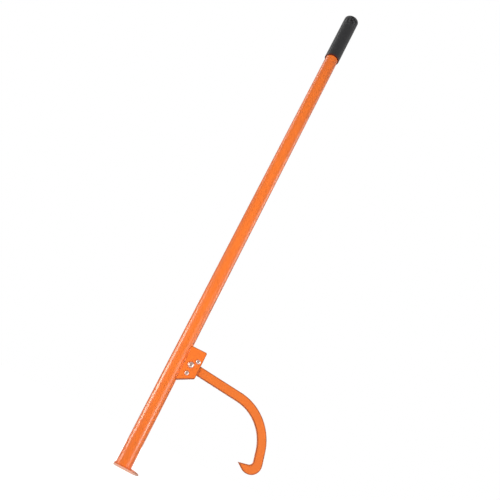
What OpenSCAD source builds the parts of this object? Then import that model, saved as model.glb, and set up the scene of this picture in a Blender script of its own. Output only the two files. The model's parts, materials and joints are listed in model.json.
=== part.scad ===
// Felling lever: a long steel tube with a lip plate welded under its foot, a
// swinging log hook between two welded cheeks, and a black grip on its head.
// The shaft stands along Z, the underside of the toe plate lies on z = 0, and
// the hook reaches toward +X. The front cheek, with the screw heads, faces -Y.

/* [Shaft] */
// Outside diameter of the round steel tube
shaft_d = 32; // [28:0.5:38]
// Wall thickness of the tube
shaft_wall = 2; // [1.5:0.25:4]
// Height of the whole lever, from the toe's underside to the end of the grip
overall_h = 1200; // [700:10:1600]

/* [Toe] */
// Thickness of the toe plate
toe_t = 4; // [3:0.5:8]
// Width of the toe plate from front to rear
toe_w = 50; // [44:1:60]
// Reach of the lip from the shaft's axis toward the hook side
toe_reach = 34; // [32:1:60]
// How far the heel of the plate stands out past the tube on the other side
toe_heel = 2.5; // [1.5:0.25:10]
// Thickness left at the tip of the lip, where its top is ground to a slope
toe_tip_t = 2; // [1:0.25:3]
// Length of the ground slope on top of the lip
toe_grind_l = 14; // [4:1:15]

/* [Cheeks] */
// Thickness of each cheek plate
cheek_t = 4; // [3:0.5:5]
// Reach of the cheeks from the shaft's axis
cheek_reach = 48; // [46:1:60]
// Height of the cheeks' lowest corner above the toe's underside
cheek_low = 187.5; // [150:0.5:260]
// Length of the cheeks along the tube
cheek_h = 73.5; // [68:0.5:110]
// Rise of the slanted lower edge from the tube to the outer edge
cheek_rise = 18; // [6:1:20]
// Radius of the two outer corners of each cheek
cheek_corner_r = 3; // [1:0.5:5]

/* [Hook] */
// Thickness of the hook's flat bar
hook_t = 10; // [8:0.5:12]
// Depth of the bar in the straight arm
arm_d = 19; // [17:0.1:19.5]
// Radius of the round eye at the pivot
eye_r = 11.25; // [9.5:0.25:12]
// How far the bar's middle line runs below the middle of the eye
eye_drop = 1.4; // [1:0.1:1.6]
// Length of the straight arm, from the pivot to the start of the outer bend
arm_l = 116.5; // [80:0.5:200]
// Droop of the arm below the level of the pivot, as the lever is drawn
arm_droop = 5.9; // [2:0.1:20]
// Radius of the bend along the bar's outer edge
bend_out_r = 103.5; // [80:0.5:150]
// Radius of the bend along the bar's inner edge
bend_in_r = 85; // [65:0.5:105]
// Angle through which the bar is bent
bend_deg = 72.8; // [60:0.1:85]
// Length of the straight shank, from the bend to the claw's upper edge
shank_l = 28.5; // [12:0.5:60]
// Depth of the bar at the end of the bend and in the shank
shank_d = 18.3; // [14:0.1:19]
// Radius of the outer corner where the shank turns into the claw
heel_r = 22; // [17:0.5:25]
// Depth of the claw below its upper edge
claw_h = 17.5; // [13:0.5:20]
// Reach of the claw's point from the shank
claw_reach = 29.5; // [24:0.5:50]
// Radius of the inner corner between shank and claw
throat_r = 7.75; // [2:0.25:9]

/* [Pivot] */
// Distance of the pivot from the tube's wall
pivot_off = 12.5; // [12.5:0.25:16]
// Height of the pivot above the cheeks' lowest corner
pivot_up = 38.5; // [36:0.5:46]
// Diameter of the pivot screw
pivot_d = 8; // [6:0.5:8.5]
// Outside diameter of the bush that the hook swings on
bush_d = 11; // [10.5:0.25:11.5]
// Outside diameter of the thin washers between the hook and the cheeks
thrust_d = 19; // [14:0.5:20]
// Thickness of those washers
thrust_t = 1; // [0.5:0.1:2]

/* [Stops] */
// Diameter of the two stop screws
stop_d = 6; // [4:0.5:6.5]
// Distance of the upper stop from the pivot, away from the shaft
stop_up_out = 10.75; // [10:0.25:13]
// Height of the upper stop above the pivot
stop_up_rise = 11.25; // [11:0.25:14]
// Depth of the lower stop below the pivot
stop_low_drop = 17.75; // [16.5:0.25:19]

/* [Fasteners] */
// Width across the flats of the pivot nut
pivot_nut_af = 13; // [11:0.5:15]
// Height of the pivot nut with its collar
pivot_nut_h = 8; // [6:0.5:9]
// Width across the flats of the stop nuts
stop_nut_af = 10; // [8:0.5:11]
// Height of the stop nuts with their collars
stop_nut_h = 6; // [5:0.5:8]
// Thickness of the washers under the nuts
washer_t = 1.6; // [1:0.1:2.5]
// How far the screws stand out of their nuts
screw_end = 1.5; // [0.5:0.5:5]

/* [Grip] */
// Length of the grip over the end of the tube
grip_l = 140; // [90:5:250]
// Wall thickness of the grip
grip_wall = 2.75; // [1.5:0.05:5]
// Thickness of the grip's closed end
grip_end_t = 3.5; // [2:0.25:8]
// Radius round the edge of the closed end
grip_edge_r = 3; // [1:0.25:5]

/* [Hidden] */
// Facets of a whole turn: for small parts, for the grip's rounded edge, for what
// has the tube's size, and for the hook's bend
$fn = 48;
edge_fn = 32;
tube_fn = 96;
bend_fn = 180;
// Amount by which a cutting shape runs past the face that it cuts
eps = 0.5;

// Fits, each one a gap on the radius or on one side
run_fit = 0.05;
side_play = 0.1;
hole_gap = 0.2;
slip_gap = 0.1;
thread_gap = 0.05;

shaft_r = shaft_d / 2;
tube_top = overall_h - grip_end_t;
toe_heel_r = shaft_r + toe_heel;
// Where the straight flanks of the toe plate meet its round nose
toe_side_x = sqrt(toe_reach * toe_reach - toe_w * toe_w / 4);

// Leg of the fillet weld round the foot, which never passes the heel's edge
full_weld_leg = 3;
toe_weld_leg = min(full_weld_leg, toe_heel);

// The gap between the cheeks takes the hook, its washers and the side play
cheek_in = hook_t / 2 + side_play + thrust_t;
cheek_out = cheek_in + cheek_t;
cheek_top = cheek_low + cheek_h;
// Where the cheeks' outer faces meet the tube
cheek_x0 = sqrt(shaft_r * shaft_r - cheek_out * cheek_out);
// The fillet welds along the cheeks, and how far their ends stay in from the corners
cheek_weld_r = 2.2;
weld_inset = 3;

pivot_x = shaft_r + pivot_off;
pivot_z = cheek_low + pivot_up;
stops = [[pivot_x + stop_up_out, pivot_z + stop_up_rise],
         [pivot_x, pivot_z - stop_low_drop]];

bush_r = bush_d / 2;
eye_bore_r = bush_r + run_fit;
screw_len = 2 * cheek_out + washer_t + screw_end;

// Button heads and washers grow with their screw: each value is a share of its diameter
head_per_d = 1.75;
head_h_per_d = 0.55;
socket_per_d = 0.65;
socket_depth_per_d = 0.32;
// Width of the flat ring between the socket's corners and the head's dome
head_land = 0.35;
washer_per_d = 2;

// Shares of a lock nut: the hexagon, the collar over it and the insert inside
hex_share = 0.68;
collar_share = 0.92;
insert_share = 0.8;
insert_h_share = 0.22;
lip_share = 0.04;

// Places along the hook, in the hook's own frame with the pivot at its origin
edge_out = arm_d / 2 - eye_drop;
edge_in = edge_out - arm_d;
along = [cos(bend_deg), -sin(bend_deg)];
outward = aim(bend_deg);
// Angle by which the bend's sector runs into the straight stretches beside it
bend_lap = 2;
bend_mid = [arm_l, edge_out - bend_out_r];
outer_corner = [arm_l + bend_out_r * tan(bend_deg / 2), edge_out];
bend_end = bend_mid + bend_out_r * outward;
inner_corner = [outer_corner[0] + (arm_d * cos(bend_deg) - shank_d) / sin(bend_deg), edge_in];
notch = bend_end + shank_l * along - shank_d * outward;
claw_tip = notch - claw_reach * outward;
heel_at = bend_end + (shank_l + claw_h - heel_r) * along - heel_r * outward;
heel_side = heel_at + heel_r * outward;
// A length that reaches past the whole hook, for the edges of cutting shapes
far = 3 * (arm_l + bend_out_r);

// Point where the line from a tip touches a circle, on the side asked for
function touch(tip, mid, r, side) =
    let (d = tip - mid,
         turn = atan2(d[0], d[1]) - side * acos(r / norm(d)))
    mid + r * aim(turn);

// Direction at an angle turned clockwise from straight up
function aim(deg) = [sin(deg), cos(deg)];

function unit(v) = v / norm(v);

// Point of the circle in a corner, r away from both edges, seen from the corner
function corner_mid(at, before, after, r) =
    let (a = unit(before - at), b = unit(after - at),
         half = acos(a * b) / 2)
    at + unit(a + b) * r / sin(half);

// Foot of that circle on the edge from the corner toward another point
function corner_foot(at, before, after, r, toward) =
    let (a = unit(before - at), b = unit(after - at),
         half = acos(a * b) / 2)
    at + unit(toward - at) * r / tan(half);

// Shaft

module shaft_tube() {
    color("darkorange")
    translate([0, 0, toe_t])
    difference() {
        cylinder(r = shaft_r, h = tube_top - toe_t, $fn = tube_fn);
        translate([0, 0, -eps])
        cylinder(r = shaft_r - shaft_wall, h = tube_top - toe_t + 2 * eps, $fn = tube_fn);
    }
}

// Toe plate: round about the tube at its heel, with flanks that flare to a
// round nose and a ground lip on the hook side

module toe_plan() {
    nose = [toe_side_x, toe_w / 2];
    flank = touch(nose, [0, 0], toe_heel_r, 1);
    intersection() {
        circle(r = toe_reach, $fn = tube_fn);
        union() {
            circle(r = toe_heel_r, $fn = tube_fn);
            polygon([flank, nose, [far, nose[1]], [far, -nose[1]],
                     [nose[0], -nose[1]], [flank[0], -flank[1]]]);
        }
    }
}

module toe_plate() {
    slope = (toe_t - toe_tip_t) / toe_grind_l;
    grind_x = toe_reach - toe_grind_l;
    color("darkorange")
    difference() {
        linear_extrude(toe_t) toe_plan();
        translate([0, toe_w / 2 + eps, 0])
        rotate([90, 0, 0])
        linear_extrude(toe_w + 2 * eps)
        polygon([[grind_x, toe_t], [toe_reach + eps, toe_tip_t - slope * eps],
                 [toe_reach + eps, toe_t + eps], [grind_x, toe_t + eps]]);
    }
}

module toe_weld() {
    color("orangered")
    translate([0, 0, toe_t])
    rotate_extrude($fn = tube_fn)
    polygon([[shaft_r, 0], [shaft_r + toe_weld_leg, 0], [shaft_r, toe_weld_leg]]);
}

// Cheeks

module cheek_outline() {
    at_low = [cheek_reach, cheek_low + cheek_rise];
    at_top = [cheek_reach, cheek_top];
    foot = [cheek_x0, cheek_low];
    head = [cheek_x0, cheek_top];
    r = cheek_corner_r;
    polygon([foot, corner_foot(at_low, foot, at_top, r, foot),
             corner_foot(at_low, foot, at_top, r, at_top),
             corner_foot(at_top, at_low, head, r, at_low),
             corner_foot(at_top, at_low, head, r, head), head]);
    translate(corner_mid(at_low, foot, at_top, r)) circle(r = r);
    translate(corner_mid(at_top, at_low, head, r)) circle(r = r);
}

// One cheek: the plate from y = from_y on, coped to the tube and drilled
module cheek(from_y) {
    color("darkorange")
    difference() {
        translate([0, from_y + cheek_t, 0])
        rotate([90, 0, 0])
        linear_extrude(cheek_t) cheek_outline();
        cylinder(r = shaft_r, h = overall_h, $fn = tube_fn);
        cross_hole(pivot_x, pivot_z, pivot_d / 2 + hole_gap);
        for (s = stops) cross_hole(s[0], s[1], stop_d / 2 + hole_gap);
    }
}

module cross_hole(x, z, r) {
    translate([x, -cheek_out - eps, z])
    rotate([-90, 0, 0])
    cylinder(r = r, h = 2 * (cheek_out + eps));
}

module front_cheek() {
    cheek(-cheek_out);
}

module rear_cheek() {
    cheek(cheek_in);
}

// Fillet weld along the outer face of one cheek, side -1 in front and 1 behind
module cheek_weld(side) {
    run = cheek_h - 2 * weld_inset;
    color("darkorange")
    difference() {
        translate([cheek_x0, side * cheek_out, cheek_low + weld_inset])
        cylinder(r = cheek_weld_r, h = run);
        cylinder(r = shaft_r, h = overall_h, $fn = tube_fn);
        translate([0, -cheek_out, cheek_low])
        cube([cheek_reach, 2 * cheek_out, cheek_h]);
    }
}

module front_weld() {
    cheek_weld(-1);
}

module rear_weld() {
    cheek_weld(1);
}

// Hook, drawn flat: the arm runs along +X from the pivot and the bar bends down.
// Each piece of the outline is a slab of the bar's thickness.

module slab() {
    linear_extrude(hook_t) children();
}

// A slab for cutting, which runs past both faces of the bar
module cut_slab() {
    translate([0, 0, -eps]) linear_extrude(hook_t + 2 * eps) children();
}

// Everything inside the hook's outer edge, from the eye to the claw's point
module hook_outer() {
    slab() circle(r = eye_r);
    slab() translate([0, edge_in]) square([arm_l, arm_d]);
    intersection() {
        translate(bend_mid) slab() circle(r = bend_out_r, $fn = bend_fn);
        cut_slab()
        polygon([bend_mid, bend_mid + far * aim(-bend_lap), bend_mid + far * aim(bend_deg / 2),
                 bend_mid + far * aim(bend_deg + bend_lap)]);
    }
    slab()
    polygon([bend_mid, bend_end, heel_side, touch(claw_tip, heel_at, heel_r, 1), claw_tip]);
    slab() translate(heel_at) circle(r = heel_r, $fn = tube_fn);
}

// The log's space: what the arm, the bend, the shank and the claw reach round
module log_space() {
    start = [eye_r + eps, edge_in];
    beyond = claw_tip - far * outward;
    cut_slab()
    polygon([start,
             corner_foot(inner_corner, start, notch, bend_in_r, start),
             corner_mid(inner_corner, start, notch, bend_in_r),
             corner_foot(inner_corner, start, notch, bend_in_r, notch),
             corner_foot(notch, inner_corner, beyond, throat_r, inner_corner),
             corner_mid(notch, inner_corner, beyond, throat_r),
             corner_foot(notch, inner_corner, beyond, throat_r, beyond),
             beyond]);
    corner_fill(inner_corner, start, notch, bend_in_r);
    corner_fill(notch, inner_corner, beyond, throat_r);
}

// The rounded tip of a corner, between the circle in it and that circle's feet
module corner_fill(at, before, after, r) {
    mid = corner_mid(at, before, after, r);
    // A point past the circle's middle, so that the two shapes meet with no seam
    past = mid + eps * unit(mid - at);
    intersection() {
        cut_slab() translate(mid) circle(r = r, $fn = bend_fn);
        cut_slab()
        polygon([past, corner_foot(at, before, after, r, before), at,
                 corner_foot(at, before, after, r, after)]);
    }
}

module hook() {
    color("darkorange")
    translate([pivot_x, hook_t / 2, pivot_z])
    rotate([90, arm_droop, 0])
    difference() {
        hook_outer();
        log_space();
        cut_slab() circle(r = eye_bore_r);
    }
}

// Turned parts, drawn along +Z and laid along +Y from a point of the hook's plane
module lay(x, y, z) {
    translate([x, y, z]) rotate([-90, 0, 0]) children();
}

module ring(out_r, in_r, h) {
    difference() {
        cylinder(r = out_r, h = h);
        translate([0, 0, -eps]) cylinder(r = in_r, h = h + 2 * eps);
    }
}

module pivot_bush() {
    color("silver")
    lay(pivot_x, -cheek_in, pivot_z)
    ring(bush_r, pivot_d / 2 + slip_gap, 2 * cheek_in);
}

module thrust_washer(y) {
    color("gainsboro")
    lay(pivot_x, y, pivot_z)
    ring(thrust_d / 2, bush_r + slip_gap, thrust_t);
}

module front_thrust_washer() {
    thrust_washer(-cheek_in);
}

module rear_thrust_washer() {
    thrust_washer(cheek_in - thrust_t);
}

// Button-head socket screw of diameter d, with its head below z = 0
module button_screw(d, len) {
    head_r = d * head_per_d / 2;
    head_h = d * head_h_per_d;
    socket_r = d * socket_per_d / 2 / cos(30);
    land_r = socket_r + head_land;
    // The head is a slice of a ball that is as wide as the head below and as its flat ring above
    ball_z = (head_r * head_r - land_r * land_r - head_h * head_h) / (2 * head_h);
    ball_r = norm([head_r, ball_z]);
    cylinder(r = d / 2, h = len);
    difference() {
        intersection() {
            translate([0, 0, ball_z]) sphere(r = ball_r);
            translate([0, 0, -head_h]) cylinder(r = ball_r + eps, h = head_h);
        }
        translate([0, 0, -head_h - eps])
        cylinder(r = socket_r, h = d * socket_depth_per_d + eps, $fn = 6);
    }
}

// Lock nut for a screw of diameter d: a hexagon with a collar that holds the insert
module lock_nut(d, af, h) {
    hex_h = h * hex_share;
    difference() {
        union() {
            cylinder(r = af / 2 / cos(30), h = hex_h, $fn = 6);
            cylinder(r = af * collar_share / 2, h = h);
        }
        translate([0, 0, -eps]) cylinder(r = d / 2 + thread_gap, h = h + 2 * eps);
        translate([0, 0, h * (1 - lip_share - insert_h_share)])
        cylinder(r = af * insert_share / 2, h = h);
    }
}

// The ring-shaped insert inside the collar, which grips the screw
module nut_insert(d, af, h) {
    translate([0, 0, h * (1 - lip_share - insert_h_share)])
    ring(af * insert_share / 2, d / 2, h * insert_h_share);
}

module pivot_screw() {
    color("silver")
    lay(pivot_x, -cheek_out, pivot_z)
    button_screw(pivot_d, screw_len + pivot_nut_h);
}

module pivot_washer() {
    color("silver")
    lay(pivot_x, cheek_out, pivot_z)
    ring(pivot_d * washer_per_d / 2, pivot_d / 2 + hole_gap, washer_t);
}

module pivot_nut() {
    color("silver")
    lay(pivot_x, cheek_out + washer_t, pivot_z)
    lock_nut(pivot_d, pivot_nut_af, pivot_nut_h);
}

module pivot_nut_insert() {
    color("whitesmoke")
    lay(pivot_x, cheek_out + washer_t, pivot_z)
    nut_insert(pivot_d, pivot_nut_af, pivot_nut_h);
}

module stop_screws() {
    color("silver")
    for (s = stops)
        lay(s[0], -cheek_out, s[1]) button_screw(stop_d, screw_len + stop_nut_h);
}

module stop_washers() {
    color("silver")
    for (s = stops)
        lay(s[0], cheek_out, s[1])
        ring(stop_d * washer_per_d / 2, stop_d / 2 + hole_gap, washer_t);
}

module stop_nuts() {
    color("silver")
    for (s = stops)
        lay(s[0], cheek_out + washer_t, s[1]) lock_nut(stop_d, stop_nut_af, stop_nut_h);
}

module stop_nut_inserts() {
    color("whitesmoke")
    for (s = stops)
        lay(s[0], cheek_out + washer_t, s[1]) nut_insert(stop_d, stop_nut_af, stop_nut_h);
}

// Grip: a closed sleeve, pushed over the head of the tube

module grip() {
    out_r = shaft_r + grip_wall;
    mouth_z = overall_h - grip_l;
    color("dimgray")
    difference() {
        rotate_extrude($fn = tube_fn) {
            translate([0, mouth_z]) square([out_r, grip_l - grip_edge_r]);
            translate([0, mouth_z]) square([out_r - grip_edge_r, grip_l]);
            translate([out_r - grip_edge_r, overall_h - grip_edge_r])
            circle(r = grip_edge_r, $fn = edge_fn);
        }
        translate([0, 0, mouth_z - eps])
        cylinder(r = shaft_r, h = tube_top - mouth_z + eps, $fn = tube_fn);
    }
}

shaft_tube();
toe_plate();
toe_weld();
front_cheek();
rear_cheek();
front_weld();
rear_weld();
hook();
pivot_bush();
front_thrust_washer();
rear_thrust_washer();
pivot_screw();
pivot_washer();
pivot_nut();
pivot_nut_insert();
stop_screws();
stop_washers();
stop_nuts();
stop_nut_inserts();
grip();
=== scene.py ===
# %% [markdown]
# This script dresses a felling lever, the long steel tool that tips a tree and rolls
# its log. The construction is loaded first and stays where it is: a tube, a toe
# plate, two cheeks, a swinging hook, the screws and a black grip. The script then
# adds what a camera sees: the finish of each surface, the rounded edges, the rippled
# weld beads and the threads. Everything is in metres, Z runs up the shaft, and the
# hook reaches toward +X.

# %% Load the construction
import json
import math
from functools import partial

import bmesh
import bpy
import numpy as np
from mathutils import Matrix, Vector
from mathutils.geometry import tessellate_polygon


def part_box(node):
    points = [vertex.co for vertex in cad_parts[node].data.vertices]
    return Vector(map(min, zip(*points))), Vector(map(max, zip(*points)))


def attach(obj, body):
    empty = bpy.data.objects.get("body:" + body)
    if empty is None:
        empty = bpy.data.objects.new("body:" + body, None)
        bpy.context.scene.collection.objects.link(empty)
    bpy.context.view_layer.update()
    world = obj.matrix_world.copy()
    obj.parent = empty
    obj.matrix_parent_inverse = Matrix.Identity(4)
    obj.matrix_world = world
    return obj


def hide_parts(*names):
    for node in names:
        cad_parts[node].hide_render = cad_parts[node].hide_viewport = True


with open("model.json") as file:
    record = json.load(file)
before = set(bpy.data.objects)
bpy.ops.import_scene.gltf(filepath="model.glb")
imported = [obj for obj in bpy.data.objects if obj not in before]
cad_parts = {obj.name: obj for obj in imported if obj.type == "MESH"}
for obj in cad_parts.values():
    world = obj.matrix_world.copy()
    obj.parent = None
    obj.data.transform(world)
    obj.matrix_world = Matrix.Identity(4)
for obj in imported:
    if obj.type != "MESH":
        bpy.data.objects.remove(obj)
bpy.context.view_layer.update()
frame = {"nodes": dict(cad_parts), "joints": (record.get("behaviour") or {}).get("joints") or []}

MM = 0.001

# %% [markdown]
# The camera stands low, level with the hook, and looks up the shaft. The picture's
# frame lies at an angle to the tool, and that angle is the camera's roll. One matrix
# says it all: first the roll about the line of sight, then the tilt above the
# horizon, then the place. The Standard view transform shows a colour as it is
# written, with no film curve on top.

# %% Camera
CAMERA_AT = (0.03134, -1.14426, 0.09001)
TILT = math.radians(19.91)
ROLL = math.radians(26.64)
FOCAL_PX = 556.06
PICTURE_PX = 500
SENSOR_MM = 36

scene = bpy.context.scene
scene.view_settings.view_transform = "Standard"
camera_data = bpy.data.cameras.new("camera")
camera_data.sensor_width = SENSOR_MM
camera_data.lens = FOCAL_PX * SENSOR_MM / PICTURE_PX
camera = bpy.data.objects.new("camera", camera_data)
upright = Matrix.Rotation(math.pi / 2 + TILT, 4, "X")
camera.matrix_world = Matrix.Translation(CAMERA_AT) @ upright @ Matrix.Rotation(ROLL, 4, "Z")
scene.collection.objects.link(camera)
scene.camera = camera
print("lens: %.1f mm" % camera_data.lens)

# %% [markdown]
# Colours are written as a maker writes them, in sRGB hex. Blender's shaders want
# linear light, so one function turns a hex value to linear and is used everywhere.

# %% Colours
def linear(hex_colour):
    """The sRGB curve undone: below 0.04045 a division by 12.92, above it a power of 2.4."""
    srgb = np.array([int(hex_colour[i:i + 2], 16) for i in (1, 3, 5)]) / 255
    low = srgb / 12.92
    high = ((srgb + 0.055) / 1.055) ** 2.4
    return [float(v) for v in np.where(srgb <= 0.04045, low, high)] + [1.0]


print("middle grey in linear light: %.3f" % linear("#808080")[0])

# %% [markdown]
# A material is a small graph of nodes. One function adds a node with its options, the
# values of its inputs and the links that feed it, and every graph below is built
# from it. Blender's names for the kinds all start with ShaderNode, so the function
# adds that. A pattern's scale comes from a real size: the noise textures repeat about
# once per unit, so a size of 2 mm is a scale of 1 over 0.002 m.

# %% Nodes
def add_node(tree, kind, options=None, values=None, links=None):
    """A node of that kind, with its options and input values set and its inputs linked. A link names a
    socket, or a node for that node's first output."""
    made = tree.nodes.new("ShaderNode" + kind)
    for name, option in (options or {}).items():
        setattr(made, name, option)
    for name, value in (values or {}).items():
        made.inputs[name].default_value = value
    for name, source in (links or {}).items():
        socket = source.outputs[0] if isinstance(source, bpy.types.Node) else source
        tree.links.new(socket, made.inputs[name])
    return made


def emptied(tree):
    """The function that adds nodes to that tree, which starts empty."""
    tree.nodes.clear()
    return partial(add_node, tree)


def new_material(name):
    """A material of that name, the function that adds its nodes, and its Object coordinates."""
    material = bpy.data.materials.new(name)
    material.use_nodes = True
    node = emptied(material.node_tree)
    return material, node, node("TexCoord").outputs["Object"]


def per_size(size_mm):
    """The texture scale of a pattern whose features are that many millimetres apart."""
    return 1 / (size_mm * MM)


print("scale of a pattern of 2 mm: %.0f" % per_size(2))

# %% [markdown]
# Every material below starts the same way, with a tone that clouds between two
# colours. Most get the relief of a fine noise, and all end in one surface node. So
# these three groups of nodes are functions too. A noise texture seldom leaves 0.3 to
# 0.7, and that span is what a roughness is spread over.

# %% Clouds, relief and surface
RGBA = {"data_type": "RGBA"}
MULTIPLY = {"operation": "MULTIPLY"}


def clouded(node, place, size_mm, detail, dark, light):
    """A noise of that size, and a colour that it mixes from dark and light."""
    noise = node("TexNoise", None, {"Scale": per_size(size_mm), "Detail": detail}, {"Vector": place})
    tone = node("Mix", RGBA, {6: linear(dark), 7: linear(light)}, {0: noise})
    return noise, tone.outputs[2]


def noise_relief(node, place, size_mm, detail, strength, depth_mm, under=None):
    """A noise of that size and the relief it gives, on top of the relief under it if there is one."""
    noise = node("TexNoise", None, {"Scale": per_size(size_mm), "Detail": detail}, {"Vector": place})
    links = {"Height": noise}
    if under is not None:
        links["Normal"] = under
    return noise, node("Bump", None, {"Strength": strength, "Distance": depth_mm * MM}, links)


def finished(material, node, body, links):
    """The material, with one surface of that body and those links as its output."""
    surface = node("BsdfPrincipled", None, body, links)
    node("OutputMaterial", links={"Surface": surface})
    return material


def spread(low, high):
    """Values of a Map Range node that turn a noise's usual span into low to high."""
    return {"From Min": 0.3, "From Max": 0.7, "To Min": low, "To Max": high}


print("a roughness from 0.30 to 0.40:", spread(0.30, 0.40))

# %% [markdown]
# The steel is finished in polyester powder coat: dry powder, sprayed on and baked
# until it flows. It hides the metal under an even film, a little glossy, with a faint
# orange-peel relief two or three millimetres across and now and then a speck of dust
# under the film. Flat bars and plates get a darker line along their corners, painted
# shade where the edges turn from the light; the coat is drawn thin there as well. A
# plain glossy colour would look like plastic, so the graph adds all of these, and the
# roughness drifts with the tone. Where the painted edge shade lies is a matter of
# shape, so the meshes below carry it as an attribute of their points; a mesh without
# it counts as zero.
# Cut plate is shot-blasted before it is coated, and that leaves its coat more matt.
# The thick bar of the hook takes tones a shade duller than the tube's.

# %% Orange powder coat
COAT_TONES = ("#F57426", "#FC802B")
BAR_TONES = ("#EA722A", "#F27E2E")
BEAD_TONES = ("#DC5A1A", "#F67A28")
# The colour of the painted edge shade along the corners
PAINTED_EDGE_SHADE = "#AC5018"
# Of a cloud: size in mm and detail
DRIFT = (60, 3.0)
COAT_ROUGHNESS = (0.30, 0.40)
BLASTED_ROUGHNESS = (0.44, 0.54)
COAT_GLOSS = {"IOR": 1.5, "Specular IOR Level": 0.35}
# Of a relief: size in mm, detail, strength and depth in mm
PEEL = (2.6, 1.5, 0.4, 0.012)
LUMPS = (1.4, 2.0, 0.8, 0.3)
# Distance between dust specks, their radius and their height, all in mm
SPECK_MM, SPECK_R_MM, SPECK_HEIGHT_MM = 30, 0.3, 0.04


def powder_coat(name, tones, roughness, lumpy=False):
    """Drifting tone, painted edge shade along the corners, where the coat is also at its thinnest, orange
    peel and dust specks, and, if lumpy, the relief of a welded skin."""
    material, node, place = new_material(name)
    drift, tone = clouded(node, place, *DRIFT, *tones)
    # Painted shade: a darker line along the corners, as strong as the mesh's attribute says
    thin = node("Attribute", {"attribute_name": "thin_film"})
    tone = node("Mix", RGBA, {7: linear(PAINTED_EDGE_SHADE)}, {0: thin.outputs["Fac"], 6: tone}).outputs[2]
    rough = node("MapRange", None, spread(*roughness), {"Value": drift})
    _, relief = noise_relief(node, place, *PEEL)
    speck = node("TexVoronoi", None, {"Scale": per_size(SPECK_MM)}, {"Vector": place})
    nib = node("MapRange", None, {"From Max": SPECK_R_MM / SPECK_MM, "To Min": 1.0, "To Max": 0.0},
               {"Value": speck})
    relief = node("Bump", None, {"Strength": 0.5, "Distance": SPECK_HEIGHT_MM * MM},
                  {"Height": nib, "Normal": relief})
    if lumpy:
        _, relief = noise_relief(node, place, *LUMPS, under=relief)
    return finished(material, node, COAT_GLOSS,
                    {"Base Color": tone, "Roughness": rough, "Normal": relief})


orange_coat = powder_coat("orange_polyester_powder_coat", COAT_TONES, COAT_ROUGHNESS)
plate_coat = powder_coat("orange_powder_coat_on_blasted_plate", COAT_TONES, BLASTED_ROUGHNESS)
bar_coat = powder_coat("orange_powder_coat_on_blasted_thick_bar", BAR_TONES, BLASTED_ROUGHNESS)
weld_coat = powder_coat("powder_coat_over_weld_bead", BEAD_TONES, COAT_ROUGHNESS, lumpy=True)
print("coats:", orange_coat.name, plate_coat.name, bar_coat.name, weld_coat.name)

# %% [markdown]
# The toe plate is shoved into saw cuts and rubs on the ground. Its coat is painted pale
# along the rim, a painted highlight on the front edge, and dull brown on the ground
# slope of the lip, painted shade on a face turned from the light. The rim is known
# from the shape, so the mesh carries it as an attribute of its points; the lip is
# known from how far it is out along X. A fine noise, the grit, breaks both into
# patches, and where they are full the coat is rougher.

# %% Coat with painted rim highlight and lip shade
# Colours of the painted highlight on the rim and the painted shade on the lip
RIM_PAINTED_HIGHLIGHT = "#F2C4AE"
LIP_PAINTED_SHADE = "#A8765E"
GRIT = (1.6, 4.0, 0.5, 0.05)
PATCH_SPREAD = {"From Min": 0.35, "From Max": 0.6, "To Min": 0.55}
MARKED_ROUGHNESS = 0.75
LIP_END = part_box("toe_plate")[1][0]
ON_LIP = {"From Min": LIP_END - 16 * MM, "From Max": LIP_END - 3 * MM}


def painted_rim_and_lip_coat():
    """The orange coat, mixed to a painted shade on the lip and to a painted highlight along the edge, as
    far as the grit lets it.
    """
    material, node, place = new_material("scuffed_powder_coat")
    _, tone = clouded(node, place, *DRIFT, *COAT_TONES)
    grit, relief = noise_relief(node, place, *GRIT)
    patch_strength = node("MapRange", None, PATCH_SPREAD, {"Value": grit})
    axes = node("SeparateXYZ", links={"Vector": place})
    on_lip = node("MapRange", None, ON_LIP, {"Value": axes.outputs["X"]})
    rim = node("Attribute", {"attribute_name": "rim"})
    lip_shade = node("Math", MULTIPLY, None, {0: on_lip, 1: patch_strength})
    rim_highlight = node("Math", MULTIPLY, None, {0: rim.outputs["Fac"], 1: patch_strength})
    for wear, colour in ((lip_shade, LIP_PAINTED_SHADE), (rim_highlight, RIM_PAINTED_HIGHLIGHT)):
        tone = node("Mix", RGBA, {7: linear(colour)}, {0: wear, 6: tone}).outputs[2]
    marked = node("Math", {"operation": "MAXIMUM"}, None, {0: lip_shade, 1: rim_highlight})
    rough = node("MapRange", None, {"To Min": COAT_ROUGHNESS[1], "To Max": MARKED_ROUGHNESS},
                 {"Value": marked})
    return finished(material, node, COAT_GLOSS,
                    {"Base Color": tone, "Roughness": rough, "Normal": relief})


toe_coat = painted_rim_and_lip_coat()
print("toe:", toe_coat.name)

# %% [markdown]
# The screws are cold-headed steel, plated with bright zinc. The plating is a metal,
# so the eye sees its reflections and no colour of its own but a pale grey, with a pink
# warmth painted in, a painted reflection of the orange cheeks. Tumbling in the plating
# drum leaves dents a third of a millimetre across. The sockets get painted shade, so
# the mesh marks the sockets and the graph darkens them.

# %% Bright zinc plating
# Pale grey with a pink warmth: a painted reflection of the orange cheeks
ZINC_TONES_WITH_PAINTED_REFLECTION = ("#C8B0A8", "#D6C0B4")
ZINC_PATCH = (3.5, 2.0)
ZINC_ROUGHNESS = (0.32, 0.44)
SOCKET_PAINTED_SHADE = "#B0968C"
DENTS = (0.35, 1.0, 0.4, 0.015)


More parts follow.
